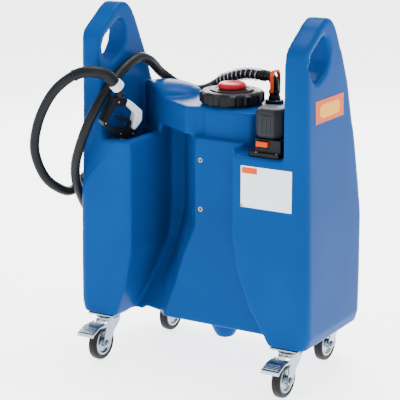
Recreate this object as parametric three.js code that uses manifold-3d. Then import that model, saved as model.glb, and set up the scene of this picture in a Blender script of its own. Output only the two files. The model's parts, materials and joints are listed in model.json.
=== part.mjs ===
// Mobile liquid tank trolley: a hollow moulded tank with two end handles on four swivel
// castors, with a filler cap, a suction pump with its battery unit, a delivery hose and a nozzle.
// Millimetres, +Z up. X runs along the tank, Y from the front face (-) to the rear (+).
import * as THREE from 'three';
import { mergeVertices } from 'three/addons/utils/BufferGeometryUtils.js';
import Module from 'manifold-3d';

const wasm = await Module();
wasm.setup();

// ---- Driving dimensions -------------------------------------------------------------------
const gap = 0.3; // clearance between pieces that touch
const wall = 6; // moulded wall of the tank
const halfDepth = 202.5;
const tankTop = 1006;
const towerInner = 285; // inner faces of the two end towers
const blockFoot = 133; // underside of the four castor corners
const bellyFoot = 143; // underside between them
const deck = 742; // flat top between the towers
const blockTop = 640; // top of the left block with the nozzle bay
const shelfTop = 643; // top of the right block under the battery unit
const panelTop = 665;
const panelFront = -152.5; // recessed centre panel
const bossFront = -132; // front of the raised boss under the cap
const cap = { x: 36, y: -30, radius: 89, bottom: 747, top: 784 };
const neck = { radius: 74, bore: 66, top: 772 };
const sump = { x: 24, y: -40, foot: 78 };
const outlet = { x: 130, y: 38, radius: 25.5, bore: 17 };
const wheel = { radius: 50, width: 27, trail: 38 };
const castors = {
  fl: { x: -292, y: -158.5, braked: true },
  fr: { x: 292, y: -158.5, braked: true },
  rl: { x: -256, y: 159.5, braked: false },
  rr: { x: 256, y: 159.5, braked: false },
};
const hoseRadius = 13.5;
const nozzlePlace = { x: -249, y: -142.5, z: 645, turn: 68, tilt: 12 };
const pumpBase = shelfTop + gap;
const pedalReach = 119; // pedal tip ahead of the kingpin
const roundSides = 24;

// ---- Materials ----------------------------------------------------------------------------
function material(color, roughness, metalness = 0) {
  return new THREE.MeshStandardMaterial({ color, roughness, metalness });
}
const bluePlastic = () => material(0x0a64b4, 0.35);
const blackPlastic = () => material(0x17181a, 0.45);
const greyPlastic = () => material(0x3a3d42, 0.5);
const paleGrey = () => material(0xc9ced2, 0.4);
const redPlastic = () => material(0xc92a30, 0.4);
const orangePlastic = () => material(0xe8642c, 0.45);
const hoseRubber = () => material(0x2c2f32, 0.55);
const tyreRubber = () => material(0x1c1b1d, 0.7);
const zinc = () => material(0xb4c0c8, 0.3, 1);
const brass = () => material(0xb89a58, 0.3, 1);
const steel = () => material(0xa4a9ad, 0.35, 1);
const whiteFilm = () => material(0xdfe4e8, 0.35);
const orangeFilm = () => material(0xf08a1e, 0.4);

// ---- Solids -------------------------------------------------------------------------------
function solid(geometry) {
  const bare = new THREE.BufferGeometry();
  const whole = geometry.index ? geometry.toNonIndexed() : geometry;
  bare.setAttribute('position', whole.getAttribute('position'));
  const welded = mergeVertices(bare, 1e-3);
  const kept = [];
  for (let i = 0; i < welded.index.count; i += 3) {
    const [a, b, c] = [0, 1, 2].map((k) => welded.index.getX(i + k));
    if (a !== b && b !== c && c !== a) kept.push(a, b, c);
  }
  const vertProperties = new Float32Array(welded.getAttribute('position').array);
  return new wasm.Manifold(
    new wasm.Mesh({ numProp: 3, vertProperties, triVerts: new Uint32Array(kept) }),
  );
}

function geometryOf(manifold) {
  const made = manifold.getMesh();
  const geometry = new THREE.BufferGeometry();
  geometry.setAttribute('position', new THREE.BufferAttribute(made.vertProperties, 3));
  geometry.setIndex(new THREE.BufferAttribute(made.triVerts, 1));
  return geometry.toNonIndexed();
}

const object = new THREE.Group();
function add(name, shape, look, parent = object) {
  const geometry = geometryOf(shape);
  geometry.computeVertexNormals();
  const mesh = new THREE.Mesh(geometry, look);
  mesh.name = name;
  parent.add(mesh);
  return mesh;
}

// Miter offset of a closed outline, outwards for a positive distance.
function offset(points, distance) {
  const ring = THREE.ShapeUtils.area(points) < 0 ? [...points].reverse() : points;
  if (distance === 0) return ring;
  return ring.map((point, i) => {
    const before = ring[(i + ring.length - 1) % ring.length];
    const after = ring[(i + 1) % ring.length];
    const a = point.clone().sub(before).normalize();
    const b = after.clone().sub(point).normalize();
    const outA = new THREE.Vector2(a.y, -a.x);
    const outB = new THREE.Vector2(b.y, -b.x);
    const middle = outA.add(outB);
    return point.clone().addScaledVector(middle, (2 * distance) / middle.lengthSq());
  });
}

const outline = (pairs) => pairs.map(([u, v]) => new THREE.Vector2(u, v));
// Turns an XY extrusion so that its outline lies in the plane across the axis.
const turns = {
  x: new THREE.Matrix4().set(0, 0, 1, 0, 1, 0, 0, 0, 0, 1, 0, 0, 0, 0, 0, 1),
  y: new THREE.Matrix4().set(1, 0, 0, 0, 0, 0, -1, 0, 0, 1, 0, 0, 0, 0, 0, 1),
  z: new THREE.Matrix4(),
};

// A prism along an axis: outline pairs are (y,z), (x,z) or (x,y); it runs from one place to another.
function prism(axis, pairs, from, to, grow = 0) {
  const points = offset(pairs[0].isVector2 ? pairs : outline(pairs), grow);
  const depth = to - from + 2 * grow;
  const geometry = new THREE.ExtrudeGeometry(new THREE.Shape(points), {
    depth,
    bevelEnabled: false,
  });
  const start = axis === 'y' ? -(to + grow) : from - grow;
  geometry.translate(0, 0, start).applyMatrix4(turns[axis]);
  return solid(geometry);
}

function box(x0, x1, y0, y1, z0, z1) {
  const geometry = new THREE.BoxGeometry(x1 - x0, y1 - y0, z1 - z0);
  return solid(geometry.translate((x0 + x1) / 2, (y0 + y1) / 2, (z0 + z1) / 2));
}

// A turned piece about Z: pairs are (radius, height), going up the outside.
function turned(pairs, sides = roundSides) {
  const geometry = new THREE.LatheGeometry(outline(pairs), sides);
  return solid(geometry.rotateX(Math.PI / 2));
}

// A plain round rod about Z from one height to another.
function rod(radius, foot, top, sides = roundSides) {
  return turned([[0, foot], [radius, foot], [radius, top], [0, top]], sides);
}

function alongX(shape) {
  return shape.rotate([0, 90, 0]);
}

// A solid through matching outlines at several heights, or depths when axis is y.
function loft(axis, sections, grow = 0) {
  const upright = axis === 'y' ? sections.map(([y, pairs]) => [-y, pairs]).reverse() : sections;
  const rings = upright.map(([level, pairs]) => [level, offset(outline(pairs), grow)]);
  rings[0][0] -= grow;
  rings[rings.length - 1][0] += grow;
  const count = rings[0][1].length;
  const vertices = rings.flatMap(([level, ring]) => ring.map((p) => [p.x, p.y, level]));
  const faces = THREE.ShapeUtils.triangulateShape(rings[0][1], []);
  const last = (rings.length - 1) * count;
  const triangles = faces.flatMap(([a, b, c]) => [
    [c, b, a],
    [a + last, b + last, c + last],
  ]);
  for (let level = 0; level + 1 < rings.length; level += 1) {
    for (let i = 0; i < count; i += 1) {
      const j = (i + 1) % count;
      const [a, b] = [level * count + i, level * count + j];
      triangles.push([a, b, b + count], [a, b + count, a + count]);
    }
  }
  const positions = triangles.flat().flatMap((index) => vertices[index]);
  const geometry = new THREE.BufferGeometry();
  geometry.setAttribute('position', new THREE.Float32BufferAttribute(positions, 3));
  return solid(geometry.applyMatrix4(turns[axis]));
}

// ---- Tank ---------------------------------------------------------------------------------
// Side view of the tank: upright front and an apex near the front; the rear is left to the plan.
function sideProfile() {
  const rear = halfDepth + 40;
  const shape = new THREE.Shape();
  shape.moveTo(-halfDepth, blockFoot);
  shape.lineTo(135, blockFoot);
  shape.lineTo(185, 148);
  shape.lineTo(rear, 190);
  shape.lineTo(rear, 818);
  shape.lineTo(50, 830);
  shape.lineTo(-16, 962);
  shape.quadraticCurveTo(-40, tankTop, -80, tankTop - 3);
  shape.quadraticCurveTo(-104, tankTop - 8, -132, 974);
  shape.lineTo(-180, 942);
  shape.quadraticCurveTo(-halfDepth, 926, -halfDepth, 898);
  return shape.getPoints(4);
}

// Plan outline by height: [height, end face X, end face rear Y, rear wall X, rear wall Y].
const planRows = [
  [blockFoot, 352, 112, 292, halfDepth],
  [165, 360, 116, 296, halfDepth],
  [300, 359, 120, 300, 198],
  [443, 356, 124, 306, 180],
  [530, 354, 112, 312, 154],
  [653, 351, 88, 320, 112],
  [818, 347, 46, 330, 56],
  [1040, 342, -45, 332, -40],
];
function planSection([height, endX, endY, wallX, wallY]) {
  const half = [
    [endX - 22, -halfDepth],
    [endX - 6, -halfDepth + 6],
    [endX, -halfDepth + 22],
    [endX, endY],
    [wallX, wallY],
  ];
  return [height, [...half, ...half.map(([x, y]) => [-x, y]).reverse()]];
}

// Recess in front of the centre panel with the deep channel beside the left block, by height.
const recess = [
  [90, -252, -92, -146, -122, -130, 258],
  [133, -241, -98, -138, -128, -118, 247],
  [235, -204, -50, -166, -58, -76, 185],
  [335, -184, 0, -152, -4, -45, 146],
  [420, -183, 15, -140, 15, -8, 134],
  [panelTop, -183, 15, -140, 15, -8, 134],
].map(([height, side, sideY, back, backY, panelEdge, far]) => [
  height,
  [
    [side, -300],
    [side, sideY],
    [back, backY],
    [panelEdge, panelFront],
    [far, panelFront],
    [far, -300],
  ],
]);
const nozzleBay = [
  [-towerInner, -300],
  [-towerInner, 34],
  [-250, -2],
  [-203, -36],
  [-123, -86],
  [-48, bossFront],
  [-48, -300],
];
const bossFace = [
  [-48, -300],
  [-48, bossFront],
  [-14, -118],
  [20, bossFront],
  [100, bossFront],
  [152, -126],
  [152, -300],
];
const pumpBay = [
  [141, -300],
  [141, -140],
  [166, -92],
  [196, -62],
  [towerInner, -56],
  [towerInner, -300],
];
const tray = [
  [-towerInner, -172],
  [-216, -172],
  [-216, -30],
  [-towerInner, 12],
];
const holster = [
  [-279, -158],
  [-218, -158],
  [-218, -70],
  [-279, -70],
];
const handleHole = [
  [-172, 868],
  [-178, 890],
  [-166, 916],
  [-96, 958],
  [-76, 952],
  [-63, 926],
  [-64, 892],
  [-86, 862],
  [-128, 842],
  [-152, 846],
];
// Shallow slanted step on the outer front corner of the left block.
const cornerStep = [
  [-260, [[-420, 420], [-236, 632], [-236, 850], [-420, 850]]],
  [-203, [[-420, 420], [-236, 632], [-236, 850], [-420, 850]]],
  [-190, [[-420, 400], [-280, 704], [-280, 815], [-420, 815]]],
];

// The tank's form with every face moved in by the inset.
function tankForm(inset) {
  const envelope = prism('x', sideProfile(), -400, 400, -inset).intersect(
    loft('z', planRows.map(planSection), -inset),
  );
  const hump = solid(
    new THREE.SphereGeometry(1, 20, 12)
      .rotateX(Math.PI / 2)
      .scale(104 - inset, 86 - inset, 34 - inset)
      .translate(-206, 30, deck),
  );
  const aboveDeck = prism(
    'x',
    [[-400, deck], [400, deck], [400, 1200], [-400, 1200]],
    -towerInner,
    towerInner,
    inset,
  );
  const cuts = [
    prism('z', nozzleBay, blockTop, 1200, inset),
    prism('z', bossFace, panelTop, 1200, inset),
    prism('z', pumpBay, shelfTop, 1200, inset),
    prism('z', tray, 592, 1200, inset),
    prism('z', holster, 500, 1200, inset),
    loft('z', recess, inset),
    prism('x', handleHole, -500, 500, inset),
    loft('y', cornerStep, inset),
    prism('x', [[-400, 0], [400, 0], [400, bellyFoot], [-400, bellyFoot]], -212, 212, inset),
  ];
  const swell = hump.intersect(envelope);
  let form = envelope.subtract(aboveDeck).add(swell);
  for (const cut of cuts) form = form.subtract(cut);
  const foot = sump.foot + inset;
  const well = turned(
    [[0, foot], [24 - inset / 2, foot], [36 - inset, foot + 22], [62 - inset, 160], [0, 160]],
    16,
  );
  return form.add(well.translate([sump.x, sump.y, 0]));
}

function tankShell() {
  const ring = rod(neck.radius, deck - 1, neck.top, 32);
  const bore = rod(neck.bore, deck - 60, neck.top + 5, 32);
  const port = rod(outlet.bore, deck - 40, deck + 10, 16);
  return tankForm(0)
    .add(ring.translate([cap.x, cap.y, 0]))
    .subtract(tankForm(wall))
    .subtract(bore.translate([cap.x, cap.y, 0]))
    .subtract(port.translate([outlet.x, outlet.y, 0]));
}

const insertHeights = { upper: 605, lower: 469 };
const insertX = 9;
const insertRadius = 6.5;
let tank = tankShell();
for (const height of Object.values(insertHeights)) {
  const hole = rod(insertRadius + gap, -20, 4.5, 12)
    .rotate([-90, 0, 0])
    .translate([insertX, panelFront, height]);
  tank = tank.subtract(hole);
}
add('tank_shell', tank, bluePlastic());

// Threaded brass inserts in the centre panel.
for (const [place, height] of Object.entries(insertHeights)) {
  const insert = turned(
    [[4, 0], [insertRadius, 0], [insertRadius, 4.8], [4, 4.8], [4, 0]],
    12,
  );
  add(
    `thread_insert_${place}`,
    insert.rotate([-90, 0, 0]).translate([insertX, panelFront - 0.6, height]),
    brass(),
  );
}

// ---- Filler cap ---------------------------------------------------------------------------
const sealRing = [[65, 0], [73, 0], [73, 3.4], [65, 3.4], [65, 0]];
add('cap_seal', turned(sealRing, 32).translate([cap.x, cap.y, neck.top + gap]), tyreRubber());

const plugStub = 26;
function fillerCap() {
  const skirt = cap.radius - 3;
  const profile = [
    [plugStub + 0.8, 29],
    [77, 29],
    [77, 0],
    [skirt, 0],
    [skirt, 28],
    [skirt - 8, cap.top - cap.bottom],
    [plugStub + 0.8, cap.top - cap.bottom],
    [plugStub + 0.8, 29],
  ];
  let body = turned(profile, 36);
  const ribs = 12;
  for (let i = 0; i < ribs; i += 1) {
    const rib = box(skirt - 4, cap.radius, -7, 7, 2, 27).rotate([0, 0, (360 * i) / ribs]);
    body = body.add(rib);
  }
  return body.translate([cap.x, cap.y, cap.bottom]);
}
add('filler_cap', fillerCap(), blackPlastic());

const plugRadius = 39;
const plugProfile = [
  [0, -14],
  [plugStub, -14],
  [plugStub, gap],
  [plugRadius - 3, gap],
  [plugRadius, 4],
  [plugRadius, 10],
  [plugRadius - 5, 16],
  [0, 16],
];
add('vent_plug', turned(plugProfile).translate([cap.x, cap.y, cap.top]), redPlastic());

// ---- Outlet, hose tail and pump inside the tank -------------------------------------------
const flangeTop = deck + gap + 9;
const flangeProfile = [
  [13, 0],
  [outlet.radius, 0],
  [outlet.radius, 7],
  [outlet.radius - 3, 9],
  [13, 9],
  [13, 0],
];
add(
  'outlet_flange',
  turned(flangeProfile).translate([outlet.x, outlet.y, deck + gap]),
  blackPlastic(),
);

// A round tube that follows a curve.
function tube(curve, radius, steps, sides) {
  const section = new THREE.Shape();
  section.absarc(0, 0, radius, 0, 2 * Math.PI);
  const ring = section.getSpacedPoints(sides).slice(0, sides);
  const geometry = new THREE.ExtrudeGeometry(new THREE.Shape(ring), {
    steps,
    extrudePath: curve,
    bevelEnabled: false,
    curveSegments: 1,
  });
  return solid(geometry);
}
function curveThrough(points) {
  const vectors = points.map(([x, y, z]) => new THREE.Vector3(x, y, z));
  return new THREE.CatmullRomCurve3(vectors, false, 'centripetal');
}

const hoseExit = { x: 104, y: outlet.y, z: 814 };
const elbowPath = curveThrough([
  [outlet.x, outlet.y, flangeTop - 8],
  [outlet.x, outlet.y, 786],
  [outlet.x - 2, outlet.y, 800],
  [outlet.x - 9, outlet.y, 810],
  [outlet.x - 18, outlet.y, hoseExit.z],
  [hoseExit.x, outlet.y, hoseExit.z],
]);
const elbowCollar = rod(16.5, 0, 26, 8);
add(
  'outlet_elbow',
  tube(elbowPath, 12.5, 14, 12)
    .add(elbowCollar.translate([outlet.x, outlet.y, flangeTop + gap]))
    .add(box(outlet.x - 22, outlet.x - 14, 32, 44, 768, 784)),
  blackPlastic(),
);

// Clamp bail: an upright loop that straddles the elbow and pivots on its collar.
const bail = { x: outlet.x + 2, half: 18.5, strip: 4, foot: 772, top: 832, pivot: 778 };
function clampBail() {
  const outer = [
    [-bail.half - bail.strip, bail.foot],
    [-bail.half - bail.strip, bail.top - 12],
    [-bail.half + 6, bail.top],
    [bail.half - 6, bail.top],
    [bail.half + bail.strip, bail.top - 12],
    [bail.half + bail.strip, bail.foot],
    [bail.half, bail.foot],
    [bail.half, bail.top - 16],
    [bail.half - 9, bail.top - 5],
    [-bail.half + 9, bail.top - 5],
    [-bail.half, bail.top - 16],
    [-bail.half, bail.foot],
  ];
  return prism('x', outer, bail.x - 5, bail.x + 5).translate([0, outlet.y, 0]);
}
add('clamp_bail', clampBail(), orangePlastic());

const ferruleLength = 16;
const ferrule = turned(
  [[0, 0], [16, 0], [16, ferruleLength - 2], [14.5, ferruleLength], [0, ferruleLength]],
  16,
);
add(
  'hose_ferrule',
  ferrule
    .rotate([0, -90, 0])
    .translate([hoseExit.x - gap, hoseExit.y, hoseExit.z]),
  blackPlastic(),
);

// Riser pipe from the outlet down to the submersible pump above the sump.
const riserPath = curveThrough([
  [outlet.x, outlet.y, flangeTop - 10],
  [outlet.x, outlet.y, 640],
  [outlet.x - 2, outlet.y - 4, 520],
  [86, 0, 400],
  [sump.x + 3, sump.y + 2, 300],
  [sump.x, sump.y, 280],
  [sump.x, sump.y, 262],
]);
add('riser_pipe', tube(riserPath, 9, 22, 8), greyPlastic());
const pumpTop = 261.7;
const pumpProfile = [
  [0, 128],
  [17, 128],
  [19, 134],
  [19, 240],
  [12, pumpTop],
  [0, pumpTop],
];
add('submersible_pump', turned(pumpProfile, 16).translate([sump.x, sump.y, 0]), steel());
const strainerProfile = [
  [0, 92],
  [14, 92],
  [16, 96],
  [16, 127.7],
  [0, 127.7],
];
add('pump_strainer', turned(strainerProfile, 16).translate([sump.x, sump.y, 0]), greyPlastic());

// ---- Delivery hose ------------------------------------------------------------------------
const hoseRoute = [
  [hoseExit.x - gap - ferruleLength - gap, outlet.y, hoseExit.z],
  [76, 38, 814],
  [44, 40, 814],
  [1, 46, 803],
  [-51, 62, 782],
  [-106, 96, 754],
  [-150, 116, 739],
  [-190, 123, 737],
  [-225, 114, 748],
  [-249, 97, 769],
  [-259, 71, 790],
  [-259, 43, 812],
  [-257, 10, 832],
  [-260, -24, 843],
  [-263, -60, 839],
  [-268, -120, 813],
  [-270, -180, 774],
  [-280, -224, 728],
  [-304, -238, 669],
  [-332, -232, 609],
  [-354, -218, 561],
  [-372, -190, 507],
  [-382, -140, 436],
  [-385, -84, 374],
  [-387, -12, 344],
  [-389, 66, 356],
  [-392, 116, 418],
  [-397, 114, 490],
  [-402, 66, 540],
  [-407, -4, 546],
  [-411, -90, 496],
  [-411, -160, 469],
  [-412, -214, 486],
  [-429, -256, 524],
  [-444, -282, 600],
  [-430, -289, 672],
  [-398, -289, 740],
  [-362, -286, 787],
  [-316, -275, 823],
];
const sleeveRoute = [
  [-316, -275, 823],
  [-290, -259, 833],
  [-268, -237, 832],
  [-250, -212, 822],
  [-239, -192, 799],
];
const wholeRoute = curveThrough([...hoseRoute, ...sleeveRoute.slice(1)]);
wholeRoute.arcLengthDivisions = 4000;
// The stretch of a route between two fractions of its length.
class Stretch extends THREE.Curve {
  constructor(route, from, to) {
    super();
    this.route = route;
    this.from = from;
    this.to = to;
  }
  getPoint(t, target = new THREE.Vector3()) {
    return this.route.getPointAt(this.from + (this.to - this.from) * t, target);
  }
}
const routeLength = wholeRoute.getLength();
const sleeveLength = 128;
const sleeveStart = (routeLength - sleeveLength) / routeLength;
add(
  'delivery_hose',
  tube(new Stretch(wholeRoute, 0, sleeveStart), hoseRadius, 78, 10),
  hoseRubber(),
);
add(
  'hose_sleeve',
  tube(new Stretch(wholeRoute, sleeveStart + gap / routeLength, 1), 16.5, 10, 12),
  blackPlastic(),
);

// Spring guard: a wire helix wound round the first stretch of the hose.
function springGuard() {
  const spring = { turns: 10, length: 150, radius: 16.8, wire: 1.5, steps: 13 };
  const points = [];
  const up = new THREE.Vector3(0, 0, 1);
  for (let i = 0; i <= spring.turns * spring.steps; i += 1) {
    const along = (2 + (spring.length * i) / (spring.turns * spring.steps)) / routeLength;
    const centre = wholeRoute.getPointAt(along);
    const forward = wholeRoute.getTangentAt(along);
    const side = new THREE.Vector3().crossVectors(forward, up).normalize();
    const top = new THREE.Vector3().crossVectors(side, forward);
    const angle = (2 * Math.PI * i) / spring.steps;
    centre.addScaledVector(side, spring.radius * Math.cos(angle));
    points.push(centre.addScaledVector(top, spring.radius * Math.sin(angle)).toArray());
  }
  return tube(curveThrough(points), spring.wire, points.length - 1, 5);
}
add('hose_spring_guard', springGuard(), steel());

// ---- Nozzle: drawn in its own upright plane, then leant and turned towards the tank ---------
const nozzle = new THREE.Group();
nozzle.position.set(nozzlePlace.x, nozzlePlace.y, nozzlePlace.z);
nozzle.rotation.set(
  THREE.MathUtils.degToRad(nozzlePlace.tilt),
  0,
  THREE.MathUtils.degToRad(nozzlePlace.turn),
  'ZXY',
);
object.add(nozzle);
const plate = (pairs, half) => prism('y', pairs, -half, half);

const gripOutline = [
  [-2, 105],
  [16, 98],
  [53, 68],
  [56, 40],
  [48, 28],
  [36, 13],
  [26, 16],
  [28, 45],
  [31, 60],
  [3, 86],
  [-6, 92],
];
add('nozzle_grip', plate(gripOutline, 13), paleGrey(), nozzle);
const headOutline = [
  [-46, 118],
  [-6, 112],
  [-2.4, 105.4],
  [-6.4, 92],
  [-40, 90],
  [-64, 50],
  [-30, 24],
  [-28, 20],
  [20, 20],
  [25.6, 15.6],
  [36.2, 12.6],
  [42, 8],
  [30, -7],
  [0, -9],
  [-24, -2],
  [-34, 10],
  [-72, 40],
  [-76, 52],
];
const inletPath = curveThrough([
  [-25, 0, 104],
  [-25, -1, 116],
  [-23, -2, 129],
]);
add(
  'nozzle_body',
  plate(headOutline, 12).add(tube(inletPath, 11.5, 2, 12)),
  blackPlastic(),
  nozzle,
);
const triggerOutline = [
  [-28, 58],
  [8, 50],
  [21, 42],
  [25, 34],
  [25, 24],
  [21, 21.5],
  [16, 24],
  [17, 34],
  [6, 41],
  [-28, 50],
];
add('nozzle_trigger', plate(triggerOutline, 6), blackPlastic(), nozzle);
const spoutPath = curveThrough([
  [4, 0, -9.3],
  [4, 0, -40],
  [2, 0, -70],
  [-3, 0, -100],
]);
add('nozzle_spout', tube(spoutPath, 9.5, 8, 12), steel(), nozzle);

// Swivel collar between the hose sleeve and the nozzle head.
const sleeveEnd = wholeRoute.getPointAt(1);
const sleeveAim = wholeRoute.getTangentAt(1);
const collarProfile = [
  [0, gap],
  [15, gap],
  [18.5, 4],
  [18.5, 20],
  [15, 24],
  [0, 24],
];
const collar = new THREE.Group();
collar.position.copy(sleeveEnd);
collar.quaternion.setFromUnitVectors(new THREE.Vector3(0, 0, 1), sleeveAim);
object.add(collar);
add('swivel_collar', turned(collarProfile, 20), paleGrey(), collar);

// ---- Battery pump unit ----------------------------------------------------------------------
function chamfered(x, y, halfX, halfY, corner) {
  return [
    [x - halfX, y - halfY + corner],
    [x - halfX + corner, y - halfY],
    [x + halfX - corner, y - halfY],
    [x + halfX, y - halfY + corner],
    [x + halfX, y + halfY - corner],
    [x + halfX - corner, y + halfY],
    [x - halfX + corner, y + halfY],
    [x - halfX, y + halfY - corner],
  ];
}
const dock = { plateTop: pumpBase + 11.7, bodyTop: 689.4 };
const dockPlate = [
  [160, -160],
  [176, -188],
  [264, -188],
  [264, -112],
  [172, -112],
];
const dockOutline = [
  [188, -176],
  [264, -176],
  [264, -112],
  [188, -112],
];
const switchSlot = { left: 194, right: 228, foot: 667, top: 685, floor: -166 };
const { left, right, foot, top, floor } = switchSlot;
const dockBody = prism('z', dockPlate, pumpBase, dock.plateTop)
  .add(prism('z', dockOutline, dock.plateTop - 1, dock.bodyTop))
  .subtract(box(left, right, -200, floor, foot, top));
add('pump_dock', dockBody, blackPlastic());
const rockerOutline = [
  [-184, 670],
  [-182, 682.5],
  [-178, 683.6],
  [-171, 682],
  [-167.2, 680],
  [-167.2, 672],
  [-171, 669.5],
  [-178, 668.4],
];
add(
  'rocker_switch',
  prism('x', rockerOutline, left + gap, right - gap),
  orangePlastic(),
);
add(
  'battery_pack',
  loft('z', [
    [dock.bodyTop + gap, chamfered(218, -134, 34, 34, 15)],
    [700, chamfered(218, -134, 40, 40, 18)],
    [758, chamfered(218, -134, 40, 40, 18)],
    [768, chamfered(218, -134, 34, 34, 15)],
  ]),
  greyPlastic(),
);

// ---- Labels -------------------------------------------------------------------------------
const film = 0.8; // thickness of a label
const labelBack = -halfDepth - gap;
const frontLabel = [[162, 509], [312, 509], [312, 620], [162, 620]];
add('front_label', prism('y', frontLabel, labelBack - film, labelBack), whiteFilm());
const endLean = (planRows[6][1] - planRows[5][1]) / (planRows[6][0] - planRows[5][0]);
const labelFoot = 736;
const labelTop = 796;
const endAt = (height) => planRows[5][1] + endLean * (height - planRows[5][0]) + 0.4;
const endLabel = [
  [endAt(labelFoot), labelFoot],
  [endAt(labelFoot) + film, labelFoot],
  [endAt(labelTop) + film, labelTop],
  [endAt(labelTop), labelTop],
];
add('end_label', prism('y', endLabel, -148, 14), orangeFilm());

// ---- Castors ------------------------------------------------------------------------------
const axleHeight = wheel.radius;
const cheek = { inner: 18.6, thick: 3 };
const plateTop = blockFoot - gap;
function castorPlate() {
  const flat = box(-42, 42, -42, 42, plateTop - 4, plateTop);
  return flat.add(rod(26, 120, plateTop - 3));
}
function castorFork() {
  const crown = turned([[0, 108], [27, 108], [31, 112], [31, 119.7], [0, 119.7]]);
  const cheekOutline = [
    [-30, 113],
    [28, 113],
    [26, 100],
    [-4, 76],
    [-24, 44],
    [-wheel.trail, 36],
    [-52, 44],
    [-53, 58],
    [-46, 84],
  ];
  const bridge = box(-cheek.inner - 1, cheek.inner + 1, -28, 26, 107, 113);
  let fork = crown.add(bridge);
  for (const side of [-1, 1]) {
    const middle = side * (cheek.inner + cheek.thick / 2);
    const from = middle - cheek.thick / 2;
    fork = fork.add(prism('x', cheekOutline, from, from + cheek.thick));
  }
  const bore = rod(5.4, -40, 40, 12);
  return fork.subtract(alongX(bore).translate([0, -wheel.trail, axleHeight]));
}
function castorAxle() {
  const inside = cheek.inner + cheek.thick + gap;
  const end = inside + 5;
  const heads = rod(8.5, -end, -inside, 12).add(rod(8.5, inside, end, 12));
  return alongX(heads.add(rod(5, -end, end, 12)));
}
function wheelHub() {
  const half = wheel.width / 2 - 2;
  const profile = [
    [5.4, -16],
    [11, -16],
    [13, -6],
    [27, -6],
    [30, -half],
    [36.5, -half],
    [36.5, half],
    [30, half],
    [27, 6],
    [13, 6],
    [11, 16],
    [5.4, 16],
    [5.4, -16],
  ];
  return alongX(turned(profile, 32));
}
function wheelTyre() {
  const half = wheel.width / 2;
  const rim = 36.5 + gap;
  const profile = [
    [rim, -half + 2],
    [44, -half],
    [wheel.radius - 2, -half + 4],
    [wheel.radius, -half + 9],
    [wheel.radius, half - 9],
    [wheel.radius - 2, half - 4],
    [44, half],
    [rim, half - 2],
    [rim, -half + 2],
  ];
  return alongX(turned(profile, 32));
}
// Brake pedal: a bent sheet tread ahead of the fork with two lugs back to its pivot.
const pedal = { pivotY: -44, pivotZ: 104 };
function brakePedal() {
  const tread = [
    [-56, 110],
    [-84, 108],
    [-pedalReach + 4, 96],
    [-pedalReach, 88],
    [-pedalReach + 4, 86],
    [-pedalReach + 8, 92],
    [-84, 104],
    [-56, 106],
  ];
  const lug = [
    [pedal.pivotY + 6, 98],
    [pedal.pivotY + 6, 110],
    [-84, 107.5],
    [-84, 104.5],
    [-58, 100],
  ];
  const body = prism('x', tread, -27, 27);
  return body.add(prism('x', lug, 22, 25)).add(prism('x', lug, -25, -22));
}
for (const [corner, place] of Object.entries(castors)) {
  const castor = new THREE.Group();
  castor.position.set(place.x, place.y, 0);
  object.add(castor);
  add(`castor_plate_${corner}`, castorPlate(), zinc(), castor);
  add(`castor_fork_${corner}`, castorFork(), zinc(), castor);
  const running = new THREE.Group();
  running.position.set(0, -wheel.trail, axleHeight);
  castor.add(running);
  add(`castor_axle_${corner}`, castorAxle(), zinc(), running);
  add(`wheel_hub_${corner}`, wheelHub(), zinc(), running);
  add(`tyre_${corner}`, wheelTyre(), tyreRubber(), running);
  if (place.braked) add(`brake_pedal_${corner}`, brakePedal(), zinc(), castor);
}

// The frame's origin is on the floor under the middle of the object's box.
const frontReach = castors.fl.y - pedalReach;
object.position.y = -(frontReach + halfDepth) / 2;

export default object;
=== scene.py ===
"""Studio scene of a mobile liquid tank trolley. Metres, +Z up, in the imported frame's own axes:
+X towards the pump end, -Y towards the front."""

import json
import math

import bmesh
import bpy
from mathutils import Matrix, Vector


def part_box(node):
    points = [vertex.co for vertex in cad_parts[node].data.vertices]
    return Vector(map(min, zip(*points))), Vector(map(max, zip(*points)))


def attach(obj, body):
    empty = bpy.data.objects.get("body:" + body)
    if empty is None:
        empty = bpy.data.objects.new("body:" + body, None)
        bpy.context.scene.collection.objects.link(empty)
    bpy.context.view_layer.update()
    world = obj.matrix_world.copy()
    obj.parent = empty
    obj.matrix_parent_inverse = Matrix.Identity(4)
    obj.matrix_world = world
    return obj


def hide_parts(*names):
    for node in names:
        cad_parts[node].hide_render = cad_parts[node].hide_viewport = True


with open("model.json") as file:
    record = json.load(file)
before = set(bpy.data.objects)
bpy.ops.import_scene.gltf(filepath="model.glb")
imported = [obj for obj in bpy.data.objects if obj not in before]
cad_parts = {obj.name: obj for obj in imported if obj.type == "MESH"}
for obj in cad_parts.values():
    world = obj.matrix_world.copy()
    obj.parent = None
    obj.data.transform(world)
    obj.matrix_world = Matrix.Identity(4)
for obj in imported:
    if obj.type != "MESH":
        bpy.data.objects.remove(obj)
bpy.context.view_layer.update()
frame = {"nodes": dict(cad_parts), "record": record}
MM = 0.001
BODY_OF = {}
for body_name, node_names in frame["record"]["behaviour"]["bodies"].items():
    for node_name in node_names:
        BODY_OF[node_name] = body_name
SLOT_OF = {part["node"]: part["material_slot"] for part in frame["record"]["subparts"]}
CORNERS = ("fl", "fr", "rl", "rr")
FOUR_SIDES = ((1, 1), (-1, 1), (-1, -1), (1, -1))


# ---- Camera, light and floor ----------------------------------------------------------------
def aim(thing, target):
    """Turns a camera or light to look at a point."""
    direction = Vector(target) - thing.location
    thing.rotation_euler = direction.to_track_quat("-Z", "Y").to_euler()


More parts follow.
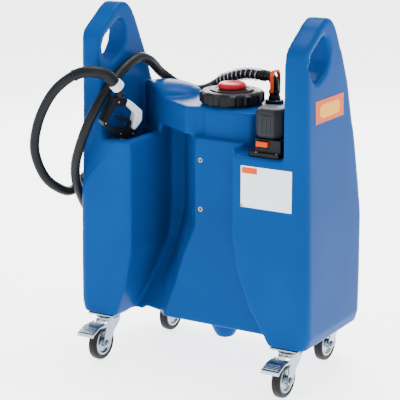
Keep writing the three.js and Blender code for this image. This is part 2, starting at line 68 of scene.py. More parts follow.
def place_camera():
    """The photo's viewpoint, worked out from the edges of the tank."""
    azimuth, elevation, distance = math.radians(30.774), math.radians(14.509), 4.5007
    target = Vector((-0.0606, 0.0, 0.4599))
    outward = Vector(
        (
            math.sin(azimuth) * math.cos(elevation),
            -math.cos(azimuth) * math.cos(elevation),
            math.sin(elevation),
        )
    )
    data = bpy.data.cameras.new("camera")
    data.lens = 145.5
    data.sensor_width = 36
    data.clip_end = 50
    camera = bpy.data.objects.new("camera", data)
    bpy.context.collection.objects.link(camera)
    camera.location = target + distance * outward
    aim(camera, target)
    bpy.context.scene.camera = camera


def softbox(name, location, target, width, height, power, colour=(1, 1, 1)):
    data = bpy.data.lights.new(name, "AREA")
    data.shape = "RECTANGLE"
    data.size = width
    data.size_y = height
    data.energy = power
    data.color = colour
    light = bpy.data.objects.new(name, data)
    bpy.context.collection.objects.link(light)
    light.location = location
    aim(light, target)


def light_studio():
    softbox("key", (2.9, -1.2, 1.9), (0, 0, 0.5), 1.2, 1.6, 34)
    softbox("front_fill", (-1.9, -3.6, 1.9), (0, 0, 0.5), 1.4, 1.4, 56, (0.95, 0.98, 1))
    softbox("top", (0.0, 0.8, 3.2), (0, 0, 0.6), 2.0, 1.2, 130)
    softbox("sheen", (-2.0, 3.3, 1.75), (0, 0, 0.75), 2.6, 0.8, 110)
    world = bpy.data.worlds.new("studio")
    world.use_nodes = True
    background = world.node_tree.nodes["Background"]
    background.inputs["Color"].default_value = (0.94, 0.965, 1, 1)
    background.inputs["Strength"].default_value = 1.5
    bpy.context.scene.world = world


def lay_floor():
    mesh = bpy.data.meshes.new("floor")
    reach = 9.0
    corners = [(-reach, -reach, 0), (reach, -reach, 0), (reach, reach, 0), (-reach, reach, 0)]
    mesh.from_pydata(corners, [], [(0, 1, 2, 3)])
    floor = bpy.data.objects.new("floor", mesh)
    bpy.context.collection.objects.link(floor)
    look = bpy.data.materials.new("floor")
    look.use_nodes = True
    shader = look.node_tree.nodes["Principled BSDF"]
    shader.inputs["Base Color"].default_value = (0.97, 0.97, 0.97, 1)
    shader.inputs["Roughness"].default_value = 0.9
    shader.inputs["Emission Color"].default_value = (1, 1, 1, 1)
    shader.inputs["Emission Strength"].default_value = 3.0
    mesh.materials.append(look)


place_camera()
light_studio()
lay_floor()


# ---- Materials ------------------------------------------------------------------------------
class Look:
    """A principled material with helpers for the small variation that real surfaces show."""

    def __init__(self, name, colour, roughness, metallic=0.0):
        self.material = bpy.data.materials.new(name)
        self.material.use_nodes = True
        self.tree = self.material.node_tree
        self.shader = self.tree.nodes["Principled BSDF"]
        self.set("Base Color", (*colour, 1))
        self.set("Roughness", roughness)
        self.set("Metallic", metallic)
        self.place = self.node("ShaderNodeTexCoord").outputs["Object"]

    def node(self, kind, **values):
        made = self.tree.nodes.new(kind)
        for key, value in values.items():
            if key in made.inputs:
                made.inputs[key].default_value = value
            else:
                setattr(made, key, value)
        return made

    def set(self, socket, value):
        self.shader.inputs[socket].default_value = value

    def link(self, start, end):
        self.tree.links.new(start, end)

    def stretched(self, scale):
        mapping = self.node("ShaderNodeMapping")
        mapping.inputs["Scale"].default_value = scale
        self.link(self.place, mapping.inputs["Vector"])
        return mapping.outputs["Vector"]

    def noise(self, scale, detail=3.0, roughness=0.5, vector=None):
        made = self.node("ShaderNodeTexNoise", Scale=scale, Detail=detail, Roughness=roughness)
        self.link(vector or self.place, made.inputs["Vector"])
        return made.outputs["Fac"]

    def ramp(self, factor, stops):
        made = self.node("ShaderNodeValToRGB")
        elements = made.color_ramp.elements
        while len(elements) < len(stops):
            elements.new(0.5)
        for element, (position, colour) in zip(elements, stops):
            element.position = position
            element.color = (*colour, 1)
        self.link(factor, made.inputs["Fac"])
        return made.outputs["Color"]

    def spread(self, factor, low, high):
        made = self.node("ShaderNodeMapRange")
        made.inputs["From Min"].default_value = 0.3
        made.inputs["From Max"].default_value = 0.7
        made.inputs["To Min"].default_value = low
        made.inputs["To Max"].default_value = high
        self.link(factor, made.inputs["Value"])
        return made.outputs["Result"]

    def colour(self, socket):
        self.link(socket, self.shader.inputs["Base Color"])

    def rough(self, socket):
        self.link(socket, self.shader.inputs["Roughness"])

    def bump(self, *layers):
        """Layers are (height, distance in metres), the coarsest first."""
        normal = None
        for height, distance in layers:
            made = self.node("ShaderNodeBump", Strength=1.0, Distance=distance)
            self.link(height, made.inputs["Height"])
            if normal:
                self.link(normal, made.inputs["Normal"])
            normal = made.outputs["Normal"]
        self.link(normal, self.shader.inputs["Normal"])


def moulded(name, colour, roughness, grain=0.00004, mottle=0.12, grain_scale=900):
    """Moulded plastic: fine spark grain, slight mottling and uneven gloss."""
    look = Look(name, colour, roughness)
    darker = tuple(c * (1 - mottle) for c in colour)
    lighter = tuple(min(1, c * (1 + mottle)) for c in colour)
    look.colour(look.ramp(look.noise(14, 5), [(0.3, darker), (0.7, lighter)]))
    look.rough(look.spread(look.noise(38, 4), roughness - 0.05, roughness + 0.07))
    look.set("Specular IOR Level", 0.1)
    look.bump((look.noise(grain_scale, 2), grain))
    return look


def tank_look():
    """Rotationally moulded polyethylene: long soft ripples, fine grain, faint scuffs."""
    deep, plain = (0.0, 0.031, 0.135), (0.0, 0.038, 0.162)
    look = Look("tank_polyethylene", plain, 0.3)
    broad = look.noise(3.2, 4)
    look.colour(look.ramp(broad, [(0.32, deep), (0.68, plain)]))
    scuffs = look.noise(9, 6, 0.62, look.stretched((1, 1, 0.35)))
    look.rough(look.spread(scuffs, 0.27, 0.36))
    look.set("Specular IOR Level", 0.025)
    ripples, grain, fine_grain = look.noise(6, 2), look.noise(260, 2), look.noise(1300, 2)
    look.bump((ripples, 0.0004), (grain, 0.00003), (fine_grain, 0.00002))
    return look


def hose_look():
    return moulded("hose_rubber", (0.0045, 0.0055, 0.007), 0.42, 0.00003, 0.25, 700)


def tyre_look():
    look = moulded("tyre_rubber", (0.007, 0.0065, 0.007), 0.55, 0.00008, 0.3, 500)
    look.set("Sheen Weight", 0.1)
    return look


def zinc_look():
    """Bright zinc plate on pressed steel: cloudy spangle and faint rolling lines."""
    look = Look("zinc_plate", (0.25, 0.3, 0.34), 0.3, 1.0)
    cloud = look.noise(24, 3, 0.5)
    look.colour(look.ramp(cloud, [(0.3, (0.2, 0.245, 0.28)), (0.7, (0.3, 0.345, 0.385))]))
    look.rough(look.spread(look.noise(60, 3), 0.26, 0.36))
    look.bump((look.noise(500, 2, 0.5, look.stretched((1, 1, 0.15))), 0.00001))
    return look


def steel_look():
    look = Look("stainless_steel", (0.3, 0.31, 0.33), 0.25, 1.0)
    lines = look.noise(900, 2, 0.5, look.stretched((0.08, 1, 1)))
    look.rough(look.spread(lines, 0.2, 0.36))
    look.bump((lines, 0.00002))
    return look


def brass_look():
    look = Look("turned_brass", (0.3, 0.2, 0.07), 0.28, 1.0)
    tarnish = look.noise(180, 4)
    look.colour(look.ramp(tarnish, [(0.35, (0.24, 0.15, 0.05)), (0.65, (0.36, 0.25, 0.1))]))
    look.bump((look.noise(900, 2), 0.00004))
    return look


LOOKS = {
    "tank_plastic": tank_look(),
    "black_plastic": moulded("black_moulding", (0.005, 0.0055, 0.007), 0.36),
    "grey_plastic": moulded("grey_moulding", (0.014, 0.016, 0.019), 0.42),
    "pale_plastic": moulded("pale_moulding", (0.5, 0.53, 0.55), 0.36, 0.00002, 0.05),
    "red_plastic": moulded("red_moulding", (0.36, 0.008, 0.014), 0.36, 0.00003, 0.1),
    "orange_plastic": moulded("orange_moulding", (0.5, 0.04, 0.002), 0.38, 0.00003, 0.08),
    "hose_rubber": hose_look(),
    "seal_rubber": moulded("seal_rubber", (0.02, 0.02, 0.021), 0.6),
    "tyre": tyre_look(),
    "zinc": zinc_look(),
    "brass": brass_look(),
    "steel": steel_look(),
    "white_film": moulded("white_film", (0.62, 0.68, 0.72), 0.3, 0.00001, 0.03),
    "yellow_film": moulded("yellow_film", (0.6, 0.25, 0.0), 0.3, 0.00001, 0.04),
    "orange_film": moulded("orange_film", (0.45, 0.055, 0.0), 0.3, 0.00001, 0.05),
}


# ---- Building helpers -----------------------------------------------------------------------
def finished(piece, body, slot, *nodes):
    """Gives a piece the material of its slot when it has none, puts it on its body and hides the
    CAD nodes it stands for.
    """
    if not piece.data.materials:
        piece.data.materials.append(LOOKS[slot].material)
    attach(piece, body)
    if nodes:
        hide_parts(*nodes)
    return piece


def mesh_piece(name, vertices, faces, smooth=True):
    mesh = bpy.data.meshes.new(name)
    mesh.from_pydata([tuple(v) for v in vertices], [], faces)
    mesh.validate()
    if smooth:
        mesh.shade_smooth()
    piece = bpy.data.objects.new(name, mesh)
    bpy.context.collection.objects.link(piece)
    return piece


def modified(piece, kind, **values):
    modifier = piece.modifiers.new(kind.lower(), kind)
    for key, value in values.items():
        setattr(modifier, key, value)
    return modifier


def applied(piece):
    """Fixes the piece's modifiers into its mesh."""
    graph = bpy.context.evaluated_depsgraph_get()
    graph.update()
    mesh = bpy.data.meshes.new_from_object(piece.evaluated_get(graph))
    old = piece.data
    piece.modifiers.clear()
    piece.data = mesh
    mesh.name = piece.name
    bpy.data.meshes.remove(old)
    return piece


def softened(node, width, segments=3):
    """A copy of a CAD node with its hard edges rounded off."""
    mesh = frame["nodes"][node].data.copy()
    mesh.materials.clear()
    piece = bpy.data.objects.new(node + "_moulding", mesh)
    bpy.context.collection.objects.link(piece)
    welded = bmesh.new()
    welded.from_mesh(mesh)
    bmesh.ops.remove_doubles(welded, verts=welded.verts, dist=0.02 * MM)
    bmesh.ops.dissolve_limit(
        welded, angle_limit=math.radians(2), verts=welded.verts, edges=welded.edges
    )
    welded.to_mesh(mesh)
    welded.free()
    modified(
        piece,
        "BEVEL",
        width=width * MM,
        segments=segments,
        limit_method="ANGLE",
        angle_limit=math.radians(28),
        harden_normals=False,
    )
    applied(piece)
    piece.data.shade_smooth()
    weighted = modified(piece, "WEIGHTED_NORMAL", keep_sharp=False, weight=80)
    weighted.mode = "FACE_AREA"
    applied(piece)
    return finished(piece, BODY_OF[node], SLOT_OF[node], node)


def rounded_profile(pairs, radius, steps=4):
    """Rounds the inner corners of an open profile of (radius, height) pairs."""
    points = [Vector(pair) for pair in pairs]
    smooth = [points[0]]
    for before, corner, after in zip(points, points[1:], points[2:]):
        a, b = before - corner, after - corner
        reach = min(radius, a.length * 0.45, b.length * 0.45)
        start, end = corner + a.normalized() * reach, corner + b.normalized() * reach
        for i in range(steps + 1):
            t = i / steps
            smooth.append(start * (1 - t) ** 2 + corner * 2 * t * (1 - t) + end * t * t)
    smooth.append(points[-1])
    return smooth


def turned(name, pairs, radius=1.0, sides=72, swell=None, matrix=Matrix()):
    """A turned piece about Z from (radius, height) pairs in millimetres, rounded at its corners.
    swell(angle, height, radius) moves the surface outwards, for lugs, ribs and knurls."""
    profile = rounded_profile(pairs, radius) if radius else [Vector(pair) for pair in pairs]
    vertices, faces = [], []
    for i in range(sides):
        angle = 2 * math.pi * i / sides
        for r, height in profile:
            out = r + (swell(angle, height, r) if swell and r > 0.01 else 0)
            point = Vector((out * math.cos(angle), out * math.sin(angle), height)) * MM
            vertices.append(matrix @ point)
    count = len(profile)
    for i in range(sides):
        for k in range(count - 1):
            j = (i + 1) % sides
            faces.append((i * count + k, j * count + k, j * count + k + 1, i * count + k + 1))
    piece = mesh_piece(name, vertices, faces)
    tidy = bmesh.new()
    tidy.from_mesh(piece.data)
    bmesh.ops.remove_doubles(tidy, verts=tidy.verts, dist=0.002 * MM)
    bmesh.ops.recalc_face_normals(tidy, faces=tidy.faces)
    tidy.to_mesh(piece.data)
    tidy.free()
    return piece


def catmull(points, per_span):
    """Points along a smooth centripetal curve through the given ones."""
    knots = [Vector(point) for point in points]
    knots = [2 * knots[0] - knots[1], *knots, 2 * knots[-1] - knots[-2]]
    path = []
    for i in range(1, len(knots) - 2):
        p = knots[i - 1 : i + 3]
        t = [0.0]
        for a, b in zip(p, p[1:]):
            t.append(t[-1] + (b - a).length ** 0.5)
        for step in range(per_span):
            now = t[1] + (t[2] - t[1]) * step / per_span
            level = p
            for depth in (1, 2, 3):
                following = []
                for k in range(4 - depth):
                    low, high = (t[1], t[2]) if depth == 3 else (t[k], t[k + depth])
                    before, after = (high - now) / (high - low), (now - low) / (high - low)
                    following.append(level[k] * before + level[k + 1] * after)
                level = following
            path.append(level[0])
    path.append(Vector(points[-1]))
    return path


def swept(name, points, radius, per_span=8, sides=32, width_of=None):
    """A round bar along a curve; width_of(fraction) scales its radius for rings and tapers."""
    path = catmull(points, per_span)
    lengths = [0.0]
    for a, b in zip(path, path[1:]):
        lengths.append(lengths[-1] + (b - a).length)
    vertices, faces = [], []
    forward = (path[1] - path[0]).normalized()
    side = forward.orthogonal().normalized()
    for i, centre in enumerate(path):
        ahead = path[min(i + 1, len(path) - 1)] - path[max(i - 1, 0)]
        turn = forward.rotation_difference(ahead.normalized())
        forward = ahead.normalized()
        side = turn @ side
        across = forward.cross(side)
        r = radius * (width_of(lengths[i] / lengths[-1]) if width_of else 1)
        for k in range(sides):
            angle = 2 * math.pi * k / sides
            vertices.append(centre + r * (math.cos(angle) * side + math.sin(angle) * across))
    for i in range(len(path) - 1):
        for k in range(sides):
            j = (k + 1) % sides
            faces.append((i * sides + k, i * sides + j, (i + 1) * sides + j, (i + 1) * sides + k))
    faces.append(tuple(reversed(range(sides))))
    faces.append(tuple((len(path) - 1) * sides + k for k in range(sides)))
    return mesh_piece(name, vertices, faces)


def centre_of(node):
    low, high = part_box(node)
    return (Vector(low) + Vector(high)) / 2


# ---- Delivery hose, its sleeve and its spring guard -------------------------------------------
HOSE_ROUTE = [
    (0.0874, 0.0755, 0.814),
    (0.076, 0.0755, 0.814),
    (0.044, 0.0775, 0.814),
    (0.001, 0.0835, 0.803),
    (-0.051, 0.0995, 0.782),
    (-0.106, 0.1335, 0.754),
    (-0.15, 0.1535, 0.739),
    (-0.19, 0.1605, 0.737),
    (-0.225, 0.1515, 0.748),
    (-0.249, 0.1345, 0.769),
    (-0.259, 0.1085, 0.79),
    (-0.259, 0.0805, 0.812),
    (-0.257, 0.0475, 0.832),
    (-0.26, 0.0135, 0.843),
    (-0.263, -0.0225, 0.839),
    (-0.268, -0.0825, 0.813),
    (-0.27, -0.1425, 0.774),
    (-0.28, -0.1865, 0.728),
    (-0.304, -0.2005, 0.669),
    (-0.332, -0.1945, 0.609),
    (-0.354, -0.1805, 0.561),
    (-0.372, -0.1525, 0.507),
    (-0.382, -0.1025, 0.436),
    (-0.385, -0.0465, 0.374),
    (-0.387, 0.0255, 0.344),
    (-0.389, 0.1035, 0.356),
    (-0.392, 0.1535, 0.418),
    (-0.397, 0.1515, 0.49),
    (-0.402, 0.1035, 0.54),
    (-0.407, 0.0335, 0.546),
    (-0.411, -0.0525, 0.496),
    (-0.411, -0.1225, 0.469),
    (-0.412, -0.1765, 0.486),
    (-0.429, -0.2185, 0.524),
    (-0.444, -0.2445, 0.6),
    (-0.43, -0.2515, 0.672),
    (-0.398, -0.2515, 0.74),
    (-0.362, -0.2485, 0.787),
    (-0.316, -0.2375, 0.823),
]
SLEEVE_ROUTE = [
    (-0.316, -0.2375, 0.823),
    (-0.29, -0.2215, 0.833),
    (-0.268, -0.1995, 0.832),
    (-0.25, -0.1745, 0.822),
    (-0.239, -0.1545, 0.799),
]
HOSE_DIAMETER = 0.027
SLEEVE_LENGTH = 0.128
SLEEVE_RADIUS = 0.0165


def measured(path):
    return sum((b - a).length for a, b in zip(path, path[1:]))


def at_length(path, wanted):
    """The point and direction a given way along a path."""
    gone = 0.0
    for a, b in zip(path, path[1:]):
        span = (b - a).length
        if gone + span >= wanted:
            return a.lerp(b, (wanted - gone) / span), (b - a).normalized()
        gone += span
    return path[-1], (path[-1] - path[-2]).normalized()


def tie_bead(fraction):
    """Width of the band round the sleeve's open end, a bead over the first third of its path."""
    if fraction >= 0.34:
        return 0.9
    return 0.93 + 0.1 * math.sin(math.pi * min(1.0, fraction * 3))


def sleeve_taper(fraction):
    return 0.86 + 0.14 * min(1.0, fraction * 2.2)


def make_hose():
    whole = catmull(HOSE_ROUTE + SLEEVE_ROUTE[1:], 6)
    hose_length = measured(whole) - SLEEVE_LENGTH
    line = [at_length(whole, hose_length * i / 220)[0] for i in range(221)]
    data = bpy.data.curves.new("hose", "CURVE")
    data.dimensions = "3D"
    data.bevel_depth = HOSE_DIAMETER / 2
    data.bevel_resolution = 8
    data.use_fill_caps = True
    spline = data.splines.new("POLY")
    spline.points.add(len(line) - 1)
    for point, place in zip(spline.points, line):
        point.co = (*place, 1)
    spline.use_smooth = True
    hose = bpy.data.objects.new("hose", data)
    bpy.context.collection.objects.link(hose)
    data.materials.append(LOOKS["hose_rubber"].material)
    finished(hose, "tank", "hose_rubber", "delivery_hose")

    gap, shown = 0.0003, 0.1275
    tail = [at_length(whole, hose_length + gap + shown * i / 8)[0] for i in range(9)]
    sleeve = swept("hose_bend_sleeve", tail, SLEEVE_RADIUS, 16, 40, sleeve_taper)
    finished(sleeve, "tank", "hose_rubber", "hose_sleeve")
    tie = swept("sleeve_tie", tail[:2], SLEEVE_RADIUS, 6, 40, tie_bead)
    finished(tie, "tank", "black_plastic")

    coils, reach, steps = 10, 0.150, 28
    coil_radius, wire_radius = 0.0166, 0.0016
    wire = []
    for i in range(coils * steps + 1):
        middle, ahead = at_length(whole, 0.002 + reach * i / (coils * steps))
        side = ahead.cross(Vector((0, 0, 1))).normalized()
        over = side.cross(ahead)
        angle = 2 * math.pi * i / steps
        wire.append(middle + coil_radius * (math.cos(angle) * side + math.sin(angle) * over))
    guard = swept("spring_guard", wire, wire_radius, 1, 10)
    finished(guard, "tank", "steel", "hose_spring_guard")
    return whole


hose_line = make_hose()


# ---- Tank -----------------------------------------------------------------------------------
def solid_cylinder(builder, centre, radius, low, high):
    place = Matrix.Translation((centre.x, centre.y, (low + high) / 2))
    bmesh.ops.create_cone(
        builder,
        cap_ends=True,
        segments=48,
        radius1=radius,
        radius2=radius,
        depth=high - low,
        matrix=place,
    )


def largest_shell(piece):
    """Keeps only the connected shell that is widest in X, which drops the tank's inside."""
    builder = bmesh.new()
    builder.from_mesh(piece.data)
    unseen = set(builder.verts)
    shells = []
    while unseen:
        start = unseen.pop()
        shell, edge = {start}, [start]
        while edge:
            for link in edge.pop().link_edges:
                for vertex in link.verts:
                    if vertex in unseen:
                        unseen.discard(vertex)
                        shell.add(vertex)
                        edge.append(vertex)
        width = max(v.co.x for v in shell) - min(v.co.x for v in shell)
        shells.append((width, shell))
    keep = max(shells, key=lambda pair: pair[0])[1]
    bmesh.ops.delete(builder, geom=[v for v in builder.verts if v not in keep], context="VERTS")
    builder.to_mesh(piece.data)
    builder.free()


def make_tank():
    """The tank's outside, with its neck and port plugged so that only one skin is left."""
    mesh = frame["nodes"]["tank_shell"].data.copy()
    mesh.materials.clear()
    tank = bpy.data.objects.new("tank_skin", mesh)
    bpy.context.collection.objects.link(tank)
    cap_middle, port_middle = centre_of("filler_cap"), centre_of("outlet_flange")
    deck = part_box("outlet_flange")[0][2] - 0.3 * MM
    builder = bmesh.new()
    builder.from_mesh(mesh)
    bmesh.ops.remove_doubles(builder, verts=builder.verts, dist=0.02 * MM)
    solid_cylinder(builder, cap_middle, 0.070, deck - 0.02, deck + 0.026)
    solid_cylinder(builder, port_middle, 0.020, deck - 0.02, deck - 0.0005)
    builder.to_mesh(mesh)
    builder.free()
    voxel = 5 * MM
    modified(tank, "REMESH", mode="VOXEL", voxel_size=voxel)
    applied(tank)
    largest_shell(tank)
    modified(tank, "SMOOTH", factor=0.5, iterations=14)
    applied(tank)
    tank.data.shade_smooth()
    return finished(tank, "tank", "tank_plastic", "tank_shell")


make_tank()


# ---- Small flat pieces ----------------------------------------------------------------------
def flat_mark(name, outline, normal, thickness, slot, look=None, body="tank"):
    """A thin plate on a surface: outline points in metres, all in one plane."""
    count = len(outline)
    lift = Vector(normal).normalized() * thickness
    vertices = [Vector(p) for p in outline] + [Vector(p) + lift for p in outline]
    faces = [tuple(reversed(range(count))), tuple(range(count, 2 * count))]
    for i in range(count):
        j = (i + 1) % count
        faces.append((i, j, count + j, count + i))
    plate = mesh_piece(name, vertices, faces, smooth=False)
    builder = bmesh.new()
    builder.from_mesh(plate.data)
    bmesh.ops.recalc_face_normals(builder, faces=builder.faces)
    builder.to_mesh(plate.data)
    builder.free()
    plate.data.materials.append(LOOKS[look or slot].material)
    return finished(plate, body, slot)


def rounded_rectangle(width, height, radius, steps=6):
    """Corner points of a rounded rectangle around the middle, as pairs."""
    points = []
    for quarter, (sx, sy) in enumerate(FOUR_SIDES):
        for i in range(steps + 1):
            angle = math.pi / 2 * (quarter + i / steps)
            x = sx * (width / 2 - radius) + radius * math.cos(angle)
            y = sy * (height / 2 - radius) + radius * math.sin(angle)
            points.append((x, y))
    return points


# ---- Castors --------------------------------------------------------------------------------
TYRE = [
    (36.8, -11.5),
    (43.5, -13.5),
    (47.6, -10.6),
    (49.2, -9.2),
    (50, -4.8),
    (50, 4.8),
    (49.2, 9.2),
    (47.6, 10.6),
    (43.5, 13.5),
    (36.8, 11.5),
    (36.8, -11.5),
]
HUB = [
    (5.5, -16),
    (11, -16),
    (12.5, -7),
    (26.5, -5.5),
    (30.5, -11.3),
    (36.5, -11.3),
    (36.5, 11.3),
    (30.5, 11.3),
    (26.5, 5.5),
    (12.5, 7),
    (11, 16),
    (5.5, 16),
    (5.5, -16),
]


def make_castor(corner):
    kingpin = centre_of(f"castor_plate_{corner}")
    axle = centre_of(f"tyre_{corner}")
    across = Matrix.Translation(axle) @ Matrix.Rotation(math.pi / 2, 4, "Y")
    tyre = turned(f"castor_tyre_{corner}", TYRE, 2.2, 96, matrix=across)
    finished(tyre, f"wheel_{corner}", "tyre", f"tyre_{corner}")
    hub = turned(f"castor_hub_{corner}", HUB, 1.4, 72, matrix=across)
    finished(hub, f"wheel_{corner}", "zinc", f"wheel_hub_{corner}")
    softened(f"castor_fork_{corner}", 1.4, 3)
    softened(f"castor_plate_{corner}", 1.0, 2)
    softened(f"castor_axle_{corner}", 0.8, 2)
    race = Matrix.Translation((kingpin.x, kingpin.y, 0))
    profile = [(27.5, 113), (33.5, 113), (34.5, 119.5), (27.5, 119.7), (27.5, 113)]
    ring = turned(f"swivel_race_{corner}", profile, 1.2, 72, matrix=race)
    finished(ring, f"swivel_{corner}", "zinc")
    if corner.startswith("f"):
        softened(f"brake_pedal_{corner}", 1.0, 3)


def round_head(name, place, radius, height, body, slot, sides=28):
    """A low domed screw or bolt head that stands on a surface."""
    buried = -0.6
    profile = [
        (0, buried),
        (radius, buried),
        (radius, height * 0.35),
        (radius * 0.72, height * 0.85),
        (0, height),
    ]
    head = turned(name, profile, radius * 0.12, sides, matrix=place)
    return finished(head, body, slot)


def dress_pedal(corner, kingpin):
    """Four raised ridges across the tread, which slopes down towards its front edge."""
    first, pitch, slope, tread_top = 0.093, 0.006, 0.36, 0.1066
    half_width, half_ridge, rise = 0.021, 0.0011, 0.0011
    for i in range(4):
        y = kingpin.y - (first + pitch * i)
        z = tread_top - slope * (pitch * i)
        ridge = [
            (kingpin.x - half_width, y - half_ridge, z),
            (kingpin.x + half_width, y - half_ridge, z),
            (kingpin.x + half_width, y + half_ridge, z),
            (kingpin.x - half_width, y + half_ridge, z),
        ]
        name = f"tread_ridge_{corner}_{i}"
        flat_mark(name, ridge, (0, 0, 1), rise, "zinc", body=f"brake_{corner}")


def dress_castor(corner):
    plate_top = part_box(f"castor_plate_{corner}")[1][2]
    kingpin = centre_of(f"castor_plate_{corner}")
    bolt_reach, plate_thickness, axle_reach = 0.034, 0.004, 0.0269
    for i, (sx, sy) in enumerate(FOUR_SIDES):
        x, y = kingpin.x + sx * bolt_reach, kingpin.y + sy * bolt_reach
        under = Matrix.Translation((x, y, plate_top - plate_thickness))
        flipped = under @ Matrix.Rotation(math.pi, 4, "X")
        round_head(f"plate_bolt_{corner}_{i}", flipped, 6.0, 4.2, "tank", "zinc", 6)
    axle = centre_of(f"tyre_{corner}")
    for side in (-1, 1):
        face = Matrix.Translation((axle.x + side * axle_reach, axle.y, axle.z))
        out = face @ Matrix.Rotation(side * math.pi / 2, 4, "Y")
        round_head(f"axle_cap_{corner}_{side}", out, 5.2, 2.6, f"swivel_{corner}", "zinc")
    if corner.startswith("f"):
        dress_pedal(corner, kingpin)


for corner in CORNERS:
    make_castor(corner)
    dress_castor(corner)


# ---- Filler cap -----------------------------------------------------------------------------
def smooth_step(value, low, high):
    t = max(0.0, min(1.0, (value - low) / (high - low)))
    return t * t * (3 - 2 * t)


CAP_LUGS = 12
CAP_PROFILE = [
    (27, 29),
    (77, 29),
    (77, 0),
    (84.5, 0),
    (84.8, 27),
    (80, 32.5),
    (67, 34),
    (65.5, 32.6),
    (61, 32.6),
    (59.5, 36.5),
    (47, 36.8),
    (45.5, 35.2),
    (41.5, 35.2),
    (40.5, 37),
    (27, 37),
    (27, 29),
]


def cap_lug(angle, height, radius):
    if radius < 79:
        return 0.0
    wave = math.cos(CAP_LUGS * angle)
    around = smooth_step(wave, 0.05, 0.55)
    up = smooth_step(height, 0.5, 4) * (1 - smooth_step(height, 25, 32))
    return 4.3 * around * up


def make_cap():
    low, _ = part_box("filler_cap")
    middle = centre_of("filler_cap")
    seat = Matrix.Translation((middle.x, middle.y, low[2]))
    detail = []
    for a, b in zip(CAP_PROFILE, CAP_PROFILE[1:]):
        parts = 8 if a[0] > 80 and b[0] > 80 else 1
        detail += [Vector(a).lerp(Vector(b), i / parts) for i in range(parts)]
    detail.append(Vector(CAP_PROFILE[-1]))
    cap = turned("filler_cap_moulding", detail, 0.9, 288, cap_lug, seat)
    finished(cap, "cap", "black_plastic", "filler_cap")

    def knurl(angle, height, radius):
        if radius < 36:
            return 0.0
        flute = smooth_step(math.cos(20 * angle), -0.2, 0.6) - 1
        return 1.3 * flute * smooth_step(height, 0.4, 3) * (1 - smooth_step(height, 9, 13))

    profile = [
        (0, -14),
        (26, -14),
        (26, 0.35),
        (36, 0.35),
        (38.6, 3),
        (39, 7),
        (38, 11),
        (33, 15.6),
        (15, 16),
        (13.5, 14.2),
        (0, 14.2),
    ]
    top = Matrix.Translation((middle.x, middle.y, low[2] + 37 * MM))
    plug = turned("vent_plug_moulding", profile, 1.6, 200, knurl, top)
    finished(plug, "vent", "red_plastic", "vent_plug")


make_cap()


# ---- Outlet ---------------------------------------------------------------------------------
NUT_PROFILE = [
    (13, 0),
    (17.2, 0),
    (17.2, 9),
    (15, 10),
    (15, 16),
    (16.8, 17),
    (16.8, 26),
    (13, 26),
    (13, 0),
]
FERRULE_PROFILE = [
    (0, 0),
    (16, 0),
    (16, 3),
    (14.8, 4),
    (14.8, 6),
    (16, 7),
    (16, 9.5),
    (14.8, 10.5),
    (14.8, 12),
    (16, 13),
    (15.2, 16),
    (0, 16),
]


def elbow_width(fraction):
    """The elbow flares at the socket that takes the hose."""
    return 1.12 if fraction > 0.9 else 1.0


def make_outlet():
    low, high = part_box("outlet_flange")
    middle = centre_of("outlet_flange")
    seat = Matrix.Translation((middle.x, middle.y, low[2]))
    profile = [(13, 0), (25.4, 0), (25.4, 6), (22, 8.9), (13, 8.9), (13, 0)]
    flange = turned("outlet_flange_moulding", profile, 1.2, 64, matrix=seat)
    finished(flange, "tank", "black_plastic", "outlet_flange")
    x, y, top = middle.x, middle.y, HOSE_ROUTE[0][2]
    bend = [
        (x, y, high[2] - 0.008),
        (x, y, 0.786),
        (x - 0.002, y, 0.800),
        (x - 0.009, y, 0.810),
        (x - 0.018, y, top),
        (x - 0.026, y, top),
    ]

    elbow = swept("elbow_bend", bend, 0.0127, 10, 40, elbow_width)
    finished(elbow, "tank", "black_plastic", "outlet_elbow")
    nut_seat = Matrix.Translation((x, y, high[2] + 0.0003))
    nut = turned("elbow_nut", NUT_PROFILE, 0, 8, matrix=nut_seat)
    nut.data.shade_flat()
    modified(nut, "BEVEL", width=0.7 * MM, segments=2, limit_method="ANGLE")
    applied(nut)
    nut.data.shade_smooth()
    finished(nut, "tank", "black_plastic")

    ferrule_seat = Matrix.Translation((0.1037, y, top)) @ Matrix.Rotation(-math.pi / 2, 4, "Y")
    ferrule = turned("ferrule_moulding", FERRULE_PROFILE, 0.6, 64, matrix=ferrule_seat)
    finished(ferrule, "tank", "black_plastic", "hose_ferrule")
    softened("clamp_bail", 1.3, 3)
    screw_circle, sunk = 0.0208, 0.0006
    for i in range(4):
        angle = math.pi / 4 + i * math.pi / 2
        across, deep = screw_circle * math.cos(angle), screw_circle * math.sin(angle)
        spot = Matrix.Translation((x + across, y + deep, high[2] - sunk))
        round_head(f"flange_screw_{i}", spot, 2.4, 1.4, "tank", "steel")


make_outlet()


# ---- Nozzle ---------------------------------------------------------------------------------
NOZZLE = (
    Matrix.Translation((-0.249, -0.105, 0.645))
    @ Matrix.Rotation(math.radians(68), 4, "Z")
    @ Matrix.Rotation(math.radians(12), 4, "X")
)
COLLAR_PROFILE = [
    (0, 0.3),
    (15.5, 0.3),
    (18.4, 3),
    (18.5, 8),
    (17.3, 9),
    (17.3, 11),
    (18.5, 12),
    (18.5, 20),
    (15, 24),
    (0, 24),
]


def in_nozzle(along, across, up):
    """A place in the nozzle's own upright plane, in millimetres."""
    return NOZZLE @ (Vector((along, across, up)) * MM)


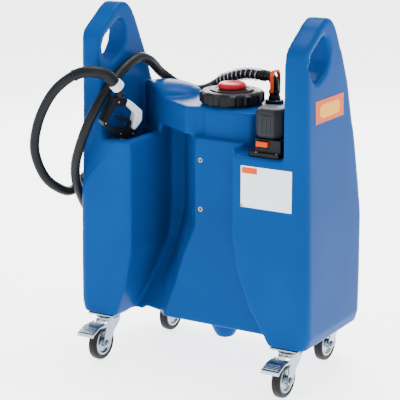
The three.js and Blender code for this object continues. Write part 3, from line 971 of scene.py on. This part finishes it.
def make_nozzle():
    softened("nozzle_grip", 5.5, 5)
    softened("nozzle_body", 3.8, 4)
    softened("nozzle_trigger", 2.2, 3)
    bend = ((4, -9.3), (4, -40), (2, -70), (-3, -100))
    spout_path = [in_nozzle(along, 0, up) for along, up in bend]
    spout = swept("spout_tube", spout_path, 0.0095, 10, 40, lambda f: 1.0 if f < 0.9 else 0.93)
    finished(spout, "tank", "steel", "nozzle_spout")
    for i, (along, up) in enumerate(((-66, 46), (-30, 104), (-12, 8), (30, 2))):
        for side in (-1, 1):
            face = NOZZLE @ Matrix.Translation((along * MM, side * 0.012, up * MM))
            out = face @ Matrix.Rotation(-side * math.pi / 2, 4, "X")
            round_head(f"nozzle_screw_{i}_{side}", out, 2.6, 1.0, "tank", "steel")
    end, ahead = at_length(hose_line, math.inf)
    turn = Vector((0, 0, 1)).rotation_difference(ahead)
    seat = Matrix.Translation(end) @ turn.to_matrix().to_4x4()
    collar = turned("swivel_collar_moulding", COLLAR_PROFILE, 0.8, 72, matrix=seat)
    finished(collar, "tank", "pale_plastic", "swivel_collar")


make_nozzle()


# ---- Battery pump unit ----------------------------------------------------------------------
def make_pump():
    softened("pump_dock", 2.4, 3)
    softened("rocker_switch", 1.2, 3)
    softened("battery_pack", 3.6, 4)
    low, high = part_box("battery_pack")
    middle = centre_of("battery_pack")
    for i, offset_x in enumerate((-0.012, 0.0, 0.012)):
        rib = []
        for across, up in rounded_rectangle(0.0045, 0.040, 0.002):
            rib.append((middle.x + offset_x + across, low[1] + 0.0001, middle.z - 0.004 + up))
        flat_mark(f"battery_rib_{i}", rib, (0, -1, 0), 0.0012, "grey_plastic", body="battery")
    band = []
    for across, up in rounded_rectangle(0.036, 0.005, 0.002):
        band.append((middle.x + across, low[1] + 0.0001, high[2] - 0.016 + up))
    flat_mark("battery_band", band, (0, -1, 0), 0.0008, "black_plastic", body="battery")
    dock_low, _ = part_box("pump_dock")
    screw_deep, ledge_height = 0.0055, 0.0117
    for i, across in enumerate((0.036, 0.096)):
        spot = Matrix.Translation(
            (dock_low[0] + across, dock_low[1] + screw_deep, dock_low[2] + ledge_height)
        )
        round_head(f"dock_screw_{i}", spot, 3.2, 1.6, "tank", "steel")


make_pump()


# ---- Labels and small CAD nodes -------------------------------------------------------------
def make_labels():
    softened("front_label", 0.25, 2)
    softened("end_label", 0.25, 2)
    low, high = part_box("front_label")
    front = low[1]
    tag_x, tag_z = low[0] + 0.026, high[2] - 0.0115
    tag = [(tag_x + x, front, tag_z + z) for x, z in rounded_rectangle(0.045, 0.0165, 0.001)]
    flat_mark("label_tag", tag, (0, -1, 0), 0.0002, "orange_plastic")
    face_foot, face_head = (0.351, 0.653), (0.347, 0.818)
    lean = (face_foot[0] - face_head[0]) / (face_head[1] - face_foot[1])
    middle = centre_of("end_label")
    capsule = []
    for across, up in rounded_rectangle(0.118, 0.036, 0.017):
        capsule.append((middle[0] + 0.0006 - lean * up, middle[1] + across, middle[2] + up))
    flat_mark("end_label_mark", capsule, (1, 0, lean), 0.0005, "orange_film", "yellow_film")
    fold = [
        (low[0] + 0.001, front, low[2] + 0.001),
        (low[0] + 0.009, front, low[2] + 0.001),
        (low[0] + 0.001, front, low[2] + 0.011),
    ]
    flat_mark("label_corner", fold, (0, -1, 0), 0.0002, "orange_plastic")


make_labels()
for node, piece in frame["nodes"].items():
    piece.data.materials.clear()
    piece.data.materials.append(LOOKS[SLOT_OF[node]].material)


# ---- Sizes and finish -----------------------------------------------------------------------
def plain(box):
    return [[float(value) for value in corner] for corner in box]
